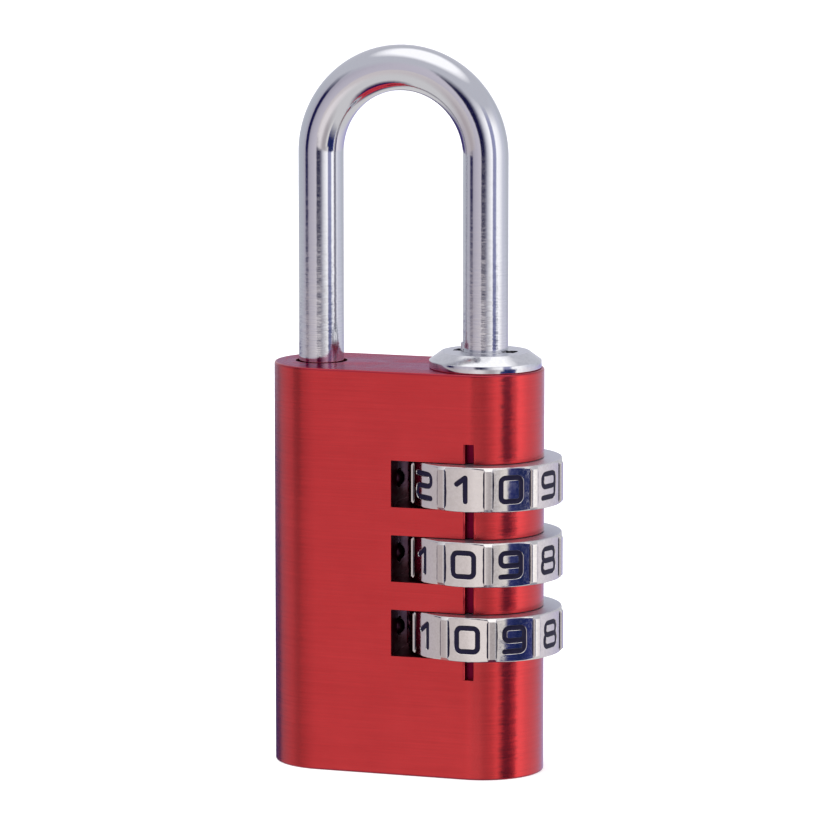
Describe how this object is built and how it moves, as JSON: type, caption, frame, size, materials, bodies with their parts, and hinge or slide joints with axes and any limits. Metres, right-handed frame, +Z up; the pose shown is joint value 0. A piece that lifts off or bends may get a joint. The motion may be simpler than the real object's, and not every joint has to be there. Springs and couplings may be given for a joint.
{
  "type": "combination padlock",
  "caption": "Combination padlock with a tall round shackle, an obround body and number wheels in side slots; turning the wheels to the code frees the shackle to lift.",
  "frame": {"origin": "centre of the body's flat bottom face, on which the closed padlock can stand", "axes": "+Z up along the shackle's legs, -Y out of the face with the index groove, +X towards the number wheels"},
  "size_m": [0.0322, 0.017, 0.0783],
  "materials": {
    "red_anodised": "red anodised over a fine horizontal brushing",
    "chrome": "polished chromium plate",
    "dial_chrome": "polished chromium plate on a zinc casting",
    "enamel": "glossy black enamel",
    "brass": "turned",
    "steel": "bright"
  },
  "bodies": {
    "housing": {"body": "red_anodised", "collar": "chrome", "detent_spring_1": "steel", "detent_spring_2": "steel", "detent_spring_3": "steel"},
    "shackle": {"shackle": "chrome", "stop_ring": "steel"},
    "dial_1": {"dial_1": "dial_chrome", "numerals_1": "enamel"},
    "sleeve_1": {"sleeve_1": "brass"},
    "detent_1": {"detent_ball_1": "steel"},
    "dial_2": {"dial_2": "dial_chrome", "numerals_2": "enamel"},
    "sleeve_2": {"sleeve_2": "brass"},
    "detent_2": {"detent_ball_2": "steel"},
    "dial_3": {"dial_3": "dial_chrome", "numerals_3": "enamel"},
    "sleeve_3": {"sleeve_3": "brass"},
    "detent_3": {"detent_ball_3": "steel"},
    "washer": {"thrust_washer": "steel", "clutch_spring": "steel"}
  },
  "joints": [
    {"name": "shackle_lift", "type": "slide", "parent": "housing", "child": "shackle", "axis": [0, 0, 1], "range_m": [0, 0.007]},
    {"name": "dial_1_turn", "type": "hinge", "parent": "housing", "child": "dial_1", "pos_m": [0.00865, 0, 0.03182], "axis": [0, 0, 1], "continuous": true},
    {"name": "sleeve_1_drop", "type": "slide", "parent": "dial_1", "child": "sleeve_1", "axis": [0, 0, -1], "range_m": [0, 0.0017]},
    {"name": "detent_1_slide", "type": "slide", "parent": "housing", "child": "detent_1", "axis": [1, 0, 0], "range_m": [0, 0.00028]},
    {"name": "dial_2_turn", "type": "hinge", "parent": "housing", "child": "dial_2", "pos_m": [0.00865, 0, 0.02372], "axis": [0, 0, 1], "continuous": true},
    {"name": "sleeve_2_drop", "type": "slide", "parent": "dial_2", "child": "sleeve_2", "axis": [0, 0, -1], "range_m": [0, 0.0017]},
    {"name": "detent_2_slide", "type": "slide", "parent": "housing", "child": "detent_2", "axis": [1, 0, 0], "range_m": [0, 0.00028]},
    {"name": "dial_3_turn", "type": "hinge", "parent": "housing", "child": "dial_3", "pos_m": [0.00865, 0, 0.01562], "axis": [0, 0, 1], "continuous": true},
    {"name": "sleeve_3_drop", "type": "slide", "parent": "dial_3", "child": "sleeve_3", "axis": [0, 0, -1], "range_m": [0, 0.0017]},
    {"name": "detent_3_slide", "type": "slide", "parent": "housing", "child": "detent_3", "axis": [1, 0, 0], "range_m": [0, 0.00028]},
    {"name": "washer_drop", "type": "slide", "parent": "housing", "child": "washer", "axis": [0, 0, -1], "range_m": [0, 0.0017], "deforming": ["clutch_spring"]}
  ],
  "couplings": [
    {"joint": "sleeve_2_drop", "follows": "sleeve_1_drop", "ratio": 1},
    {"joint": "sleeve_3_drop", "follows": "sleeve_1_drop", "ratio": 1},
    {"joint": "washer_drop", "follows": "sleeve_1_drop", "ratio": 1}
  ]
}
